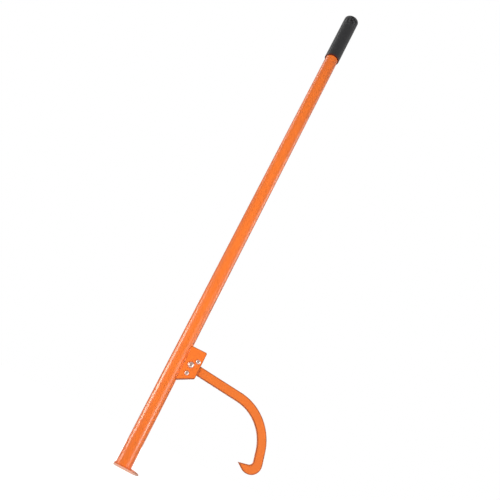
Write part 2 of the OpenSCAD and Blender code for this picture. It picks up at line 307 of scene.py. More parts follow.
def zinc_plating():
    """A metal whose tone, pink with a painted reflection, and gloss vary in patches, with painted shade in
    the sockets and fine dents.
    """
    material, node, place = new_material("bright_zinc_plated_steel")
    patch, tone = clouded(node, place, *ZINC_PATCH, *ZINC_TONES_WITH_PAINTED_REFLECTION)
    # Painted shade in the sockets, as deep as the mesh's attribute says
    socket = node("Attribute", {"attribute_name": "socket"})
    tone = node("Mix", RGBA, {7: linear(SOCKET_PAINTED_SHADE)}, {0: socket.outputs["Fac"], 6: tone}).outputs[2]
    rough = node("MapRange", None, spread(*ZINC_ROUGHNESS), {"Value": patch})
    _, relief = noise_relief(node, place, *DENTS)
    return finished(material, node, {"Metallic": 1.0},
                    {"Base Color": tone, "Roughness": rough, "Normal": relief})


zinc = zinc_plating()
print("plating:", zinc.name)

# %% [markdown]
# The grip is soft vinyl, made by dipping. Its skin is black and satin, with a grain
# like fine leather. The closed end is painted greyer, a painted sheen on its pebbled
# dome, and spotted dark between, so a second noise is let in only there, by the height
# on the lever. At the mouth a dark red line is painted: the painted shadow under the
# rim, tinted by a painted reflection of the orange tube. The line, the spots and the
# grain are a little coarser than real ones, because finer ones would be lost between
# the picture's dots.

# %% Black soft vinyl
VINYL_BLACK = "#2C2C2D"
# The grey of the painted sheen at the closed end
VINYL_PAINTED_SHEEN_AT_END = "#464647"
SPOT_BLACK = "#040404"
# The dark red of the painted shadow at the mouth
MOUTH_PAINTED_SHADOW = "#4C1A12"
VINYL_ROUGHNESS = (0.48, 0.62)
VINYL_GLOSS = {"IOR": 1.52, "Specular IOR Level": 0.2}
GRAIN = (0.7, 2.0, 0.7, 0.05)
# Size in mm, detail, and the noise values at which a spot starts and is full
SPOTS = (4.8, 2.0, 0.48, 0.54)
SPOT_DENT = {"Strength": 0.5, "Distance": 0.25 * MM}
MOUTH_LINE = 3.6 * MM
GRIP_LO, GRIP_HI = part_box("grip")
NEAR_END = {"From Min": GRIP_HI[2] - 36 * MM, "From Max": GRIP_HI[2] - 20 * MM}
MOUTH_SHADOW_SPAN = {"From Min": GRIP_LO[2] + MOUTH_LINE, "From Max": GRIP_LO[2] + 0.6 * MOUTH_LINE}


def soft_vinyl():
    """Black, with a painted sheen that greys it near the closed end, where it is spotted as well, and a
    painted shadow in dark red at the mouth.
    """
    material, node, place = new_material("black_dipped_soft_vinyl")
    axes = node("SeparateXYZ", links={"Vector": place})
    near_end, mouth_shadow_share = (node("MapRange", None, span, {"Value": axes.outputs["Z"]})
                            for span in (NEAR_END, MOUTH_SHADOW_SPAN))
    size_mm, detail, faint, full = SPOTS
    noise = node("TexNoise", None, {"Scale": per_size(size_mm), "Detail": detail}, {"Vector": place})
    strong = node("MapRange", None, {"From Min": faint, "From Max": full}, {"Value": noise})
    spots = node("Math", MULTIPLY, None, {0: near_end, 1: strong})
    # Painted sheen: greyer toward the closed end
    tone = node("Mix", RGBA, {6: linear(VINYL_BLACK), 7: linear(VINYL_PAINTED_SHEEN_AT_END)}, {0: near_end}).outputs[2]
    # Dark spots at the end, and the painted shadow at the mouth
    for share, colour in ((spots, SPOT_BLACK), (mouth_shadow_share, MOUTH_PAINTED_SHADOW)):
        tone = node("Mix", RGBA, {7: linear(colour)}, {0: share, 6: tone}).outputs[2]
    grain, relief = noise_relief(node, place, *GRAIN)
    rough = node("MapRange", None, spread(*VINYL_ROUGHNESS), {"Value": grain})
    relief = node("Bump", None, SPOT_DENT, {"Height": spots, "Normal": relief})
    return finished(material, node, VINYL_GLOSS,
                    {"Base Color": tone, "Roughness": rough, "Normal": relief})


vinyl = soft_vinyl()
print("vinyl from z %.3f to %.3f m" % (GRIP_LO[2], GRIP_HI[2]))

# %% [markdown]
# Thin washers beside the hook and the rings in the lock nuts are natural nylon, cut or
# moulded: milky, waxy, and lit a little from within.

# %% Natural nylon
NYLON_TONES = ("#DEDCD2", "#EAE8E0")
NYLON_CLOUD = (2.5, 2.0)
NYLON_RIPPLE = {"Strength": 0.3, "Distance": 0.02 * MM}
NYLON_BODY = {"IOR": 1.53, "Roughness": 0.42, "Subsurface Weight": 0.15, "Subsurface Scale": 0.8 * MM}


def natural_nylon():
    """A faint cloudiness in tone and surface, with light that scatters under 0.8 mm deep."""
    material, node, place = new_material("natural_nylon")
    cloud, tone = clouded(node, place, *NYLON_CLOUD, *NYLON_TONES)
    relief = node("Bump", None, NYLON_RIPPLE, {"Height": cloud})
    return finished(material, node, NYLON_BODY, {"Base Color": tone, "Normal": relief})


nylon = natural_nylon()
print("nylon:", nylon.name)

# %% [markdown]
# Every new piece is a surface worked out as arrays of points. A surface is a grid: its
# rows follow one parameter, its columns the other and close on themselves. The
# helper turns such a grid into four-cornered faces by shifting an array of indices,
# with no loop over points. A row that shrinks to one point is a pole, and merging
# equal points closes it.

# %% Grids and meshes
SAME_POINT = 1e-7
CM3 = 1e-6


def grid_faces(rows, columns, ring):
    """Faces between neighbours of a grid whose columns close; with ring the rows close too."""
    index = np.arange(rows * columns).reshape(rows, columns)
    here = index if ring else index[:-1]
    after = np.roll(index, -1, 0) if ring else index[1:]
    corners = [here, np.roll(here, -1, 1), np.roll(after, -1, 1), after]
    return np.stack(corners, -1).reshape(-1, 4).tolist()


def grid(points, ring=False):
    """The points of a grid as a flat list, with its faces."""
    rows, columns, _ = points.shape
    return points.reshape(-1, 3), grid_faces(rows, columns, ring)


def make_piece(name, parts, material, body, replaced, crease=35):
    """One object from parts of (points, faces): merged, turned outward, smooth up to the crease angle."""
    points = np.concatenate([p for p, _ in parts])
    starts = np.cumsum([0] + [len(p) for p, _ in parts])
    faces = [[i + int(start) for i in face] for (_, fs), start in zip(parts, starts) for face in fs]
    mesh = bpy.data.meshes.new(name)
    mesh.from_pydata(points.tolist(), [], faces)
    work = bmesh.new()
    work.from_mesh(mesh)
    bmesh.ops.remove_doubles(work, verts=work.verts, dist=SAME_POINT)
    bmesh.ops.recalc_face_normals(work, faces=work.faces)
    if work.calc_volume(signed=True) < 0:
        bmesh.ops.reverse_faces(work, faces=work.faces)
    volume = work.calc_volume()
    work.to_mesh(mesh)
    work.free()
    mesh.polygons.foreach_set("use_smooth", [True] * len(mesh.polygons))
    mesh.set_sharp_from_angle(angle=math.radians(crease))
    mesh.materials.append(material)
    piece = bpy.data.objects.new(name, mesh)
    scene.collection.objects.link(piece)
    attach(piece, body)
    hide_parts(*replaced)
    print("%-22s %6d faces %8.2f cm3" % (name, len(mesh.polygons), volume / CM3))
    return piece


def mark(piece, name, amount_at):
    """An attribute on the piece's points, worked out from their places by amount_at."""
    count = len(piece.data.vertices)
    places = np.empty(count * 3)
    piece.data.vertices.foreach_get("co", places)
    amount = np.clip(amount_at(*places.reshape(-1, 3).T), 0, 1)
    piece.data.attributes.new(name, "FLOAT", "POINT").data.foreach_set("value", amount)
    print("%-22s %s on %d of %d points" % (piece.name, name, (amount > 0).sum(), count))


print("faces of a ring of 4 rows and 6 columns:", len(grid_faces(4, 6, ring=True)))

# %% [markdown]
# Plates and bars come next: the hook, the cheeks and the toe plate are flat steel, cut
# to an outline. A real edge is never sharp, because rolling, cutting and the baked
# coat all round it, and that round is what catches the light. A bevel on a cut-out
# mesh would do, but a direct way gives full control: walk round the outline and carry
# along it a wall whose two corners are quarter circles, set inward by their radius.
# The flat faces are then filled with triangles.

# %% Outlines
# Distance in mm between the points of long arcs, of corners and of bores
LONG_STEP, CORNER_STEP, BORE_STEP = 1.5, 0.8, 0.6
REPEATED = 1e-6


def arc(middle, radius, start_deg, sweep_deg, step_mm=LONG_STEP):
    """Points on a circle through a signed sweep, about step_mm apart, with both ends."""
    count = max(2, int(abs(math.radians(sweep_deg)) * radius / (step_mm * MM)) + 1)
    turn = np.radians(start_deg + np.linspace(0, sweep_deg, count + 1))
    return np.array(middle) + radius * np.stack([np.cos(turn), np.sin(turn)], -1)


def circle(middle, radius, step_mm):
    """A whole turn of such an arc, without its first point again at the end."""
    return arc(middle, radius, 0, 360, step_mm)[:-1]


def angle_of(vector):
    """The direction of a flat vector, in degrees from +X."""
    return math.degrees(math.atan2(vector[1], vector[0]))


def rounded_corner(before, corner, after, radius):
    """The arc that rounds a corner: its middle is radius over the sine of the half angle away."""
    before, corner, after = (np.array(p, float) for p in (before, corner, after))
    a = (before - corner) / np.linalg.norm(before - corner)
    b = (after - corner) / np.linalg.norm(after - corner)
    half = math.acos(float(a @ b)) / 2
    middle = corner + (a + b) / np.linalg.norm(a + b) * radius / math.sin(half)
    foot_a = corner + a * radius / math.tan(half)
    foot_b = corner + b * radius / math.tan(half)
    start = angle_of(foot_a - middle)
    sweep = (angle_of(foot_b - middle) - start + 180) % 360 - 180
    return arc(middle, radius, start, sweep, CORNER_STEP)


def joined(*stretches):
    """Stretches of points as one closed outline, without points that repeat."""
    points = np.concatenate([np.atleast_2d(s) for s in stretches])
    step = np.linalg.norm(points - np.roll(points, 1, 0), axis=1)
    return points[step > REPEATED]


def inward(points):
    """For each corner the step that moves both its edges in by one unit: the sum of the edge normals
    over one plus their product. Material lies to the left of the walk."""
    edge = np.roll(points, -1, 0) - points
    normal = np.stack([-edge[:, 1], edge[:, 0]], -1) / np.linalg.norm(edge, axis=1)[:, None]
    earlier = np.roll(normal, 1, 0)
    return (normal + earlier) / (1 + (normal * earlier).sum(1))[:, None]


print("points on a quarter circle of 20 mm:", len(arc((0, 0), 20 * MM, 0, 90)))

# %% [markdown]
# A plate is such an outline with its holes. Its corners also carry the painted edge
# shade, where the coat is thin too, and how strong it is follows from a point's
# distance to the outline and to the faces. So a second helper measures that, and the
# wall gets one more row of points where the painted shade ends.

# %% Plates
EDGE_SHADE_BAND = 1.6 * MM


def left_turning(points, hole=False):
    """The outline walked so that material lies to its left: anticlockwise, and clockwise round a hole."""
    following = np.roll(points, -1, 0)
    area = (points[:, 0] * following[:, 1] - following[:, 0] * points[:, 1]).sum()
    return points if (area > 0) != hole else points[::-1]


def wall_rows(low, high, edge_r, band, steps=5):
    """Insets and heights of a wall's rows: quarter circles, where the inset is r(1 - sin t) and the
    height r(1 - cos t), and beyond them, if there is a band, rows one band further along each face."""
    turn = np.linspace(0, math.pi / 2, steps + 1)
    inset = edge_r * (1 - np.sin(turn))
    rise = edge_r * (1 - np.cos(turn))
    if band:
        inset = np.concatenate([[edge_r + band], inset, [0]])
        rise = np.concatenate([[0], rise, [edge_r + band]])
    return np.concatenate([inset, inset[::-1]]), np.concatenate([low + rise, (high - rise)[::-1]])


def plate(outline, holes, low, high, edge_r, band=EDGE_SHADE_BAND):
    """A flat plate between two heights: a wall of rows for each loop, and two faces filled between."""
    loops = [(left_turning(outline), band)] + [(left_turning(h, hole=True), 0) for h in holes]
    parts, bottoms, tops = [], [], []
    for loop, loop_band in loops:
        inset, height = wall_rows(low, high, edge_r, loop_band)
        flat = loop[None] + inset[:, None, None] * inward(loop)[None]
        level = np.broadcast_to(height[:, None, None], flat.shape[:2] + (1,))
        points, faces = grid(np.concatenate([flat, level], -1))
        parts.append((points, faces))
        bottoms.append(points[:len(loop)])
        tops.append(points[-len(loop):])
    for face_loops in (bottoms, tops):
        fill = tessellate_polygon([[Vector(p) for p in loop] for loop in face_loops])
        parts.append((np.concatenate(face_loops), [list(t) for t in fill]))
    return parts


def from_outline(outline, points):
    """The distance of flat points from an outline: the least of those to the nearest place on each edge."""
    edge = np.roll(outline, -1, 0) - outline
    away = points[:, None] - outline[None]
    share = np.clip((away * edge).sum(-1) / (edge ** 2).sum(-1), 0, 1)
    return np.linalg.norm(away - share[..., None] * edge, axis=-1).min(1)


def thin_film(outline, at_x, at_z, low, high, edge_r):
    """The amount of painted edge shade: 1 on a plate's rounded corners, falling to 0 one band further along
    a face or a side."""
    def amount(x, y, z):
        off_edge = from_outline(outline, np.stack([x - at_x, z - at_z], -1))
        off_face = np.minimum(y - low, high - y)
        return 1 - (np.maximum(off_edge, off_face) - edge_r) / EDGE_SHADE_BAND
    return amount


def stood_up(parts, at_x, at_z):
    """Flat (a, b, height) points set upright: a runs along X, b along Z and the height along Y."""
    return [(np.stack([p[:, 0] + at_x, p[:, 2], p[:, 1] + at_z], -1), f) for p, f in parts]


print("rows in the wall of a plate of 4 mm:", len(wall_rows(0, 4 * MM, 1 * MM, EDGE_SHADE_BAND)[0]))

# %% [markdown]
# The hook is a flat bar, bent cold round a former and cut to a claw. Its outline is
# worked out as a smith would mark it: the eye, the straight arm, the bend that takes
# the bar from 19 down to 18.3 mm, the shank and the claw with its heel and throat.
# All of it is drawn from the pivot, then turned by the droop of the arm.

# %% Hook
hinge = frame["joints"][0]
PIVOT_X, _, PIVOT_Z = hinge["pos_m"]
HOOK_LO, HOOK_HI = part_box("hook")
EYE_R = 11.25 * MM
EYE_BORE_R = 5.55 * MM
ARM_D = 19 * MM
SHANK_D = 18.3 * MM
EYE_DROP = 1.4 * MM
ARM_L = 116.5 * MM
ARM_DROOP = 5.9
BEND_OUT_R = 103.5 * MM
BEND_IN_R = 85 * MM
BEND_DEG = 72.8
SHANK_L = 28.5 * MM
CLAW_H = 17.5 * MM
CLAW_REACH = 29.5 * MM
HEEL_R = 22 * MM
THROAT_R = 7.75 * MM
BAR_EDGE_R = 1.0 * MM
HEEL_STEP, EYE_BORE_STEP = 1.2, 0.7


def touching(tip, middle, radius):
    """The angle on a circle, in degrees, where the line from the tip touches it on its lower side."""
    away = np.array(tip) - np.array(middle)
    return angle_of(away) + math.degrees(math.acos(radius / np.linalg.norm(away)))


def hook_outline():
    """Eye, underside of the arm and bend, throat, claw, heel and outside of the bend. Along the shank runs
    the unit vector down, and across it, toward its outer side, the unit vector out."""
    bend = math.radians(BEND_DEG)
    down = np.array([math.cos(bend), -math.sin(bend)])
    out = np.array([math.sin(bend), math.cos(bend)])
    top = ARM_D / 2 - EYE_DROP
    bottom = top - ARM_D
    middle = np.array([ARM_L, top - BEND_OUT_R])
    bend_end = middle + BEND_OUT_R * out
    outer_x = ARM_L + BEND_OUT_R * math.tan(bend / 2)
    inner = np.array([outer_x + (ARM_D * math.cos(bend) - SHANK_D) / math.sin(bend), bottom])
    notch = bend_end + SHANK_L * down - SHANK_D * out
    tip = notch - CLAW_REACH * out
    heel = bend_end + (SHANK_L + CLAW_H - HEEL_R) * down - HEEL_R * out
    eye_top = math.degrees(math.asin(top / EYE_R))
    eye_bottom = math.degrees(math.asin(bottom / EYE_R))
    touch = touching(tip, heel, HEEL_R)
    return joined(arc((0, 0), EYE_R, eye_top, 360 + eye_bottom - eye_top, CORNER_STEP),
                  rounded_corner((0, bottom), inner, notch, BEND_IN_R),
                  rounded_corner(inner, notch, tip, THROAT_R),
                  tip,
                  arc(heel, HEEL_R, touch, (angle_of(out) - touch) % 360, HEEL_STEP),
                  arc(middle, BEND_OUT_R, angle_of(out), BEND_DEG))


def drooped(points):
    """Points of the hook's own plane, turned down about the pivot by the arm's droop."""
    turn = math.radians(-ARM_DROOP)
    return points @ np.array([[math.cos(turn), math.sin(turn)], [-math.sin(turn), math.cos(turn)]])


eye_bore = circle((0, 0), EYE_BORE_R, EYE_BORE_STEP)
hook_line = drooped(hook_outline())
hook_parts = plate(hook_line, [eye_bore], HOOK_LO[1], HOOK_HI[1], BAR_EDGE_R)
hook = make_piece("hook_bar", stood_up(hook_parts, PIVOT_X, PIVOT_Z), bar_coat, "hook_arm",
                  ["hook"])
# Painted edge shade along the bar's corners
mark(hook, "thin_film", thin_film(hook_line, PIVOT_X, PIVOT_Z, HOOK_LO[1], HOOK_HI[1], BAR_EDGE_R))

# %% [markdown]
# Two cheek plates hold the hook between them. They are cut from the same kind of
# steel, thinner, and their inner edge is coped to the tube. The outline is a square
# corner above, a slanted edge below and small radii outside. The cope is one line of
# arithmetic: a point inside the tube moves out along X to just under its surface.

# %% Cheeks
TUBE_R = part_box("shaft_tube")[1][0]
CHEEK_LO, CHEEK_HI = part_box("front_cheek")
CHEEK_RISE = 18 * MM
CHEEK_CORNER_R = 3 * MM
CHEEK_EDGE_R = 0.45 * MM
UNDER_SKIN = 0.6 * MM
CHEEK_OUT = -CHEEK_LO[1]
STOPS = [(PIVOT_X + 10.75 * MM, PIVOT_Z + 11.25 * MM), (PIVOT_X, PIVOT_Z - 17.75 * MM)]
HOLE_GAP = 0.2 * MM
PIVOT_D = 8 * MM
STOP_D = 6 * MM


def coped(parts):
    """Points moved out along X to the tube: x is at least the root of R squared less y squared."""
    def cope(p):
        limit = np.sqrt(np.maximum((TUBE_R - UNDER_SKIN) ** 2 - p[:, 1] ** 2, 0))
        return np.stack([np.maximum(p[:, 0], limit), p[:, 1], p[:, 2]], -1)
    return [(cope(p), faces) for p, faces in parts]


def cheek_outline():
    """Foot and head at the tube, with two rounded corners outside, the lower one raised by the slant."""
    foot = (CHEEK_LO[0] - UNDER_SKIN, CHEEK_LO[2])
    head = (CHEEK_LO[0] - UNDER_SKIN, CHEEK_HI[2])
    lower = (CHEEK_HI[0], CHEEK_LO[2] + CHEEK_RISE)
    upper = (CHEEK_HI[0], CHEEK_HI[2])
    return joined(foot, rounded_corner(foot, lower, upper, CHEEK_CORNER_R),
                  rounded_corner(lower, upper, head, CHEEK_CORNER_R), head)


def cheek_parts(low_y, high_y):
    """The plate between two depths, with its three screw holes, coped to the tube."""
    holes = [circle((PIVOT_X, PIVOT_Z), PIVOT_D / 2 + HOLE_GAP, BORE_STEP)]
    holes += [circle(stop, STOP_D / 2 + HOLE_GAP, BORE_STEP) for stop in STOPS]
    return coped(stood_up(plate(cheek_outline(), holes, low_y, high_y, CHEEK_EDGE_R), 0, 0))


for node_name in ("front_cheek", "rear_cheek"):
    low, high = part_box(node_name)
    cheek = make_piece(node_name + "_plate", cheek_parts(low[1], high[1]), plate_coat, "lever",
                       [node_name])
    # Painted edge shade along the cheek's corners
    mark(cheek, "thin_film", thin_film(cheek_outline(), 0, 0, low[1], high[1], CHEEK_EDGE_R))

# %% [markdown]
# The toe plate is the lip that goes into the cut. Seen from above it is round at the
# heel, flares along two flanks and ends in a round nose, and its tip is ground down to
# half the thickness. A loft suits it: at each station along X the section is a
# rectangle with rounded corners, as wide as the outline and as thick as the plate is
# there, and both ends shrink to an edge.

# %% Toe plate
TOE_LO, TOE_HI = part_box("toe_plate")
TOE_W = TOE_HI[1] - TOE_LO[1]
NOSE_R = TOE_HI[0]
HEEL_CIRCLE_R = -TOE_LO[0]
NOSE_X = math.sqrt(NOSE_R ** 2 - TOE_W ** 2 / 4)
TOE_T = TOE_HI[2]
TOE_TIP_T = 2 * MM
GRIND_L = 14 * MM
GRIND_X = NOSE_R - GRIND_L
TOE_EDGE_R = 0.5 * MM
HEEL_ROWS, GRIND_ROWS, NOSE_ROWS = 60, 6, 40


def toe_half_width(x):
    """The heel's circle, then its tangent to the corner, then the nose's circle."""
    corner_turn = math.atan2(TOE_W / 2, NOSE_X) + math.acos(HEEL_CIRCLE_R / NOSE_R)
    foot = HEEL_CIRCLE_R * np.array([math.cos(corner_turn), math.sin(corner_turn)])
    flank = foot[1] + (x - foot[0]) * (TOE_W / 2 - foot[1]) / (NOSE_X - foot[0])
    heel = np.sqrt(np.maximum(HEEL_CIRCLE_R ** 2 - x ** 2, 0))
    nose = np.sqrt(np.maximum(NOSE_R ** 2 - x ** 2, 0))
    return np.where(x < foot[0], heel, np.minimum(flank, nose))


def eased(start, end, count):
    """Stations that crowd toward both ends, as the cosine of an even turn does."""
    return start + (end - start) * (1 - np.cos(np.linspace(0, math.pi, count))) / 2


def rounded_section(half_width, thickness, edge_r, steps=4):
    """Rows of rounded rectangles: four quarter circles, whose radius never passes half the width."""
    r = np.minimum(edge_r, half_width)[:, None]
    half_width, thickness = half_width[:, None], thickness[:, None]
    turn = np.linspace(0, math.pi / 2, steps + 1)[None]
    across = [half_width - r + r * np.cos(turn), -half_width + r - r * np.sin(turn)]
    across += [-half_width + r - r * np.cos(turn), half_width - r + r * np.sin(turn)]
    up = [thickness - r + r * np.sin(turn), thickness - r + r * np.cos(turn)]
    up += [r - r * np.sin(turn), r - r * np.cos(turn)]
    return np.concatenate(across, 1), np.concatenate(up, 1)


stations = np.concatenate([eased(-HEEL_CIRCLE_R, GRIND_X, HEEL_ROWS),
                           np.linspace(GRIND_X, NOSE_X, GRIND_ROWS)[1:],
                           eased(NOSE_X, NOSE_R, NOSE_ROWS)[1:]])
thinning = (TOE_T - TOE_TIP_T) * np.clip((stations - GRIND_X) / (NOSE_R - GRIND_X), 0, 1)
across, up = rounded_section(toe_half_width(stations), TOE_T - thinning, TOE_EDGE_R)
along = np.broadcast_to(stations[:, None], across.shape)
toe = make_piece("toe_lip_plate", [grid(np.stack([along, across, up], -1))], toe_coat, "lever",
                 ["toe_plate"], crease=30)
# Where the painted highlight runs: the rim of the plate's edge
mark(toe, "rim", lambda x, y, z: 1 - (toe_half_width(x) - np.abs(y)) / TOE_EDGE_R)

# %% [markdown]
# Weld beads are frozen ripples: the torch pauses every couple of millimetres and
# leaves a crescent. A plain fillet reads as putty, so each bead is a fan of points
# round its corner whose reach swells along the seam with the ripples, with a slower
# wander of the hand on top. The same formula serves the seam round the foot and the
# two seams along the cheeks.

# %% Weld beads
RIPPLE_MM = 2.2
RIPPLE_BEND = 0.9
# Of each slow sine: turn per mm along the seam, phase and share
WANDER = ((0.41, 1.3, 1.0), (0.93, 4.1, 0.7))
RIPPLE_SHARE, WANDER_SHARE = 0.06, 0.05
FAN = 12
TOE_SEAM_ROWS, CHEEK_SEAM_ROWS = 361, 241
TOE_BEAD_SHARE, TOE_BEAD_HOLLOW = 0.92, 0.18
CHEEK_BEAD_LEG, CHEEK_BEAD_HOLLOW = 2.05 * MM, 0.15
END_BLUNTNESS = 14


def rippled(reach, hollow, along_mm, fan):
    """Reach times one plus ripples, less a hollow in the bead's middle. The ripples are a cosine along the
    seam, bent to crescents by the square of the place across the bead, and slow sines for the hand."""
    across = 2 * fan - 1
    crescent = np.cos(2 * math.pi * (along_mm / RIPPLE_MM + RIPPLE_BEND * across ** 2))
    wander = sum(share * np.sin(along_mm * rate + phase) for rate, phase, share in WANDER)
    swell = 1 + RIPPLE_SHARE * crescent + WANDER_SHARE * wander
    return reach * swell * (1 - hollow + hollow * np.abs(across))


def toe_bead():
    """Round the tube's foot: a fan of a quarter turn from the plate up to the tube, closed inside the
    corner."""
    seam = np.linspace(0, 2 * math.pi, TOE_SEAM_ROWS)[:-1][:, None]
    fan = np.linspace(0, 1, FAN)[None]
    leg = TOE_BEAD_SHARE * (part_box("toe_weld")[1][0] - TUBE_R)
    reach = rippled(leg, TOE_BEAD_HOLLOW, seam * TUBE_R / MM, fan)
    out = TUBE_R + reach * np.cos(fan * math.pi / 2)
    up = TOE_T + reach * np.sin(fan * math.pi / 2)
    out = np.concatenate([out, np.full_like(seam, TUBE_R - UNDER_SKIN)], 1)
    up = np.concatenate([up, np.full_like(seam, TOE_T - UNDER_SKIN)], 1)
    return grid(np.stack([out * np.cos(seam), out * np.sin(seam), up], -1), ring=True)


def cheek_bead(side, low, high):
    """Along a cheek's outer corner: a fan from the plate to the tube's tangent. Both ends thin out as the
    root of one less a high power of the place along the seam, so they are blunt."""
    seam = np.linspace(-1, 1, CHEEK_SEAM_ROWS)[:, None]
    fan = np.linspace(0, 1, FAN)[None]
    z = (low + high) / 2 + seam * (high - low) / 2
    taper = np.sqrt(1 - np.abs(seam) ** END_BLUNTNESS)
    corner = np.array([CHEEK_LO[0], CHEEK_OUT])
    tangent = math.atan2(corner[0], -corner[1])
    reach = taper * rippled(CHEEK_BEAD_LEG, CHEEK_BEAD_HOLLOW, z / MM, fan)
    x = corner[0] + reach * np.cos(fan * tangent)
    y = corner[1] + reach * np.sin(fan * tangent)
    x = np.concatenate([x, corner[0] - taper * UNDER_SKIN], 1)
    y = np.concatenate([y, corner[1] - taper * UNDER_SKIN], 1)
    return grid(np.stack([x, side * y, np.broadcast_to(z, x.shape)], -1))


make_piece("toe_weld_bead", [toe_bead()], weld_coat, "lever", ["toe_weld"], crease=80)
for node_name, side in (("front_weld", -1), ("rear_weld", 1)):
    low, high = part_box(node_name)
    make_piece(node_name + "_bead", [cheek_bead(side, low[2], high[2])], weld_coat, "lever",
               [node_name], crease=80)

# %% [markdown]
# Turned parts are rows of circles at heights along an axis. A hexagon fits the same
# grid: at each angle its radius is half the width across the flats over the cosine of
# the angle from the flat's middle. Taking the smaller of the round radius and the
# hexagon's gives a nut its real chamfer, because that is how a nut is made, a hexagon
# bar turned down at the ends.

# %% Turned shapes
COLUMNS = 72
# Width across flats of a round part, in metres: too wide to cut anything
NO_FLATS = 1.0


def turned(stations, ring=False, spin=None):
    """Rows from stations of (height, round radius, width across flats); spin, if given, is an array of
    radii to use as the round ones, with a value for each angle."""
    height, round_r, flats = (np.array(v, float)[:, None] for v in zip(*stations))
    angle = np.arange(COLUMNS)[None] * 2 * math.pi / COLUMNS
    from_flat = angle % (math.pi / 3) - math.pi / 6
    radius = np.minimum(round_r if spin is None else spin, flats / 2 / np.cos(from_flat))
    radius = np.minimum(radius, round_r)
    level = np.broadcast_to(height, radius.shape)
    return grid(np.stack([radius * np.cos(angle), radius * np.sin(angle), level], -1), ring)


def rounds(*pairs):
    """Stations of a round part from pairs of height and radius."""
    return [(height, radius, NO_FLATS) for height, radius in pairs]


def ring_section(low, high, inner_r, outer_r, edge_r):
    """The stations of a flat ring with its corners cut at 45 degrees."""
    return rounds((low + edge_r, inner_r), (low, inner_r + edge_r),
                  (low, outer_r - edge_r), (low + edge_r, outer_r),
                  (high - edge_r, outer_r), (high, outer_r - edge_r),
                  (high, inner_r + edge_r), (high - edge_r, inner_r))


print("stations of a flat ring:", len(ring_section(0, 2 * MM, 4 * MM, 8 * MM, 0.2 * MM)))

# %% [markdown]
# A button-head socket screw: a low dome with a hexagon socket, a plain or threaded
# shank and a chamfered end. The thread is a real helix, because its rows take their
# radius from the height less a share of the pitch for each turn. Only what shows is
# threaded: the ends behind the nuts, and the stop screws' length between the cheeks.

# %% Screws
# Shares of the screw's diameter
HEAD_SHARE, HEAD_H_SHARE = 0.875, 0.55
SOCKET_SHARE, SOCKET_DEPTH_SHARE = 0.65, 0.32
# Of the thread, in pitches: depth of the groove and chamfer at the end
THREAD_DEPTH, END_CHAMFER = 0.61, 0.9
# Fullness of the groove in its middle, cut off at 1 for a flat root, and its fall for each pitch
ROOT_FULLNESS, FLANK_SLOPE = 1.25, 3.3
THREAD_ROWS, DOME_ROWS = 10, 12
HEAD_LAND = 0.35 * MM
HEAD_RIM_H, HEAD_RIM_TOP, HEAD_RIM_FOOT = 0.25 * MM, 0.12 * MM, 0.15 * MM
NECK_R = 0.3 * MM
DRILL_CONE = 0.5 * MM
SOCKET_DRAFT = 0.94
MOUTH_CHAMFER = (0.2 * MM, 0.35 * MM)
SOCKET_MARGIN = 0.1 * MM
# A radius wider than any of these screws, where only the flats count
UNLIMITED = 10 * MM


def screw(diameter, pitch, length, threaded_from, front_y):
    """Stations from the socket's floor, over the dome, under the head and along the shank to its end. The
    groove is deepest where the height's place within its pitch, less the turn, is in the middle."""
    head_r, head_h = HEAD_SHARE * diameter, HEAD_H_SHARE * diameter
    flats = SOCKET_SHARE * diameter
    shank_r = diameter / 2
    land_r = flats / 2 / math.cos(math.pi / 6) + HEAD_LAND
    ball_h = (head_r ** 2 - land_r ** 2 - head_h ** 2) / (2 * head_h)
    ball_r = math.hypot(head_r, ball_h)
    floor = SOCKET_DEPTH_SHARE * diameter - head_h
    wider, deeper = MOUTH_CHAMFER
    socket = [(floor + DRILL_CONE, 0, flats), (floor, UNLIMITED, flats * SOCKET_DRAFT),
              (-head_h + deeper, UNLIMITED, flats), (-head_h, UNLIMITED, flats + 2 * wider)]
    turn = np.linspace(math.asin(land_r / ball_r), math.asin((head_r - HEAD_RIM_TOP) / ball_r), DOME_ROWS)
    dome = rounds(*((ball_h - ball_r * math.cos(t), ball_r * math.sin(t)) for t in turn))
    neck = rounds((-HEAD_RIM_H, head_r), (0.0, head_r - HEAD_RIM_FOOT), (0.0, shank_r + NECK_R),
                  (NECK_R, shank_r))
    rows = np.arange(threaded_from, length, pitch / THREAD_ROWS)
    chamfer = END_CHAMFER * pitch
    shank = rounds(*((h, shank_r - max(0, h - length + chamfer)) for h in rows))
    end = rounds((length, shank_r - chamfer), (length, 0))
    stations = socket + dome + neck + shank + end
    height = np.array([s[0] for s in stations])[:, None]
    angle = np.arange(COLUMNS)[None] / COLUMNS
    phase = (height / pitch - angle) % 1
    fullness = np.clip(ROOT_FULLNESS - FLANK_SLOPE * np.abs(phase - 0.5), 0, 1)
    groove = THREAD_DEPTH * pitch * fullness
    run_in = np.clip((height - threaded_from) / pitch, 0, 1)
    spin = np.where(height < threaded_from, UNLIMITED, shank_r - groove * run_in)
    points, faces = turned(stations, spin=spin)
    return points + [0, 0, front_y], faces


def in_socket(x, y, z, diameter, places):
    """How deep in a socket each point is: 0 at its mouth, 1 at its floor."""
    off_axis = np.min([np.hypot(x - px, z - pz) for px, pz in places], axis=0)
    depth = y + CHEEK_OUT + HEAD_H_SHARE * diameter
    corner_r = SOCKET_SHARE * diameter / 2 / math.cos(math.pi / 6)
    inside = (off_axis < corner_r + SOCKET_MARGIN) & (y < -CHEEK_OUT) & (depth > SOCKET_MARGIN)
    return inside * depth / (SOCKET_DEPTH_SHARE * diameter)


print("head of the pivot screw: %.1f mm across" % (2 * HEAD_SHARE * PIVOT_D / MM))

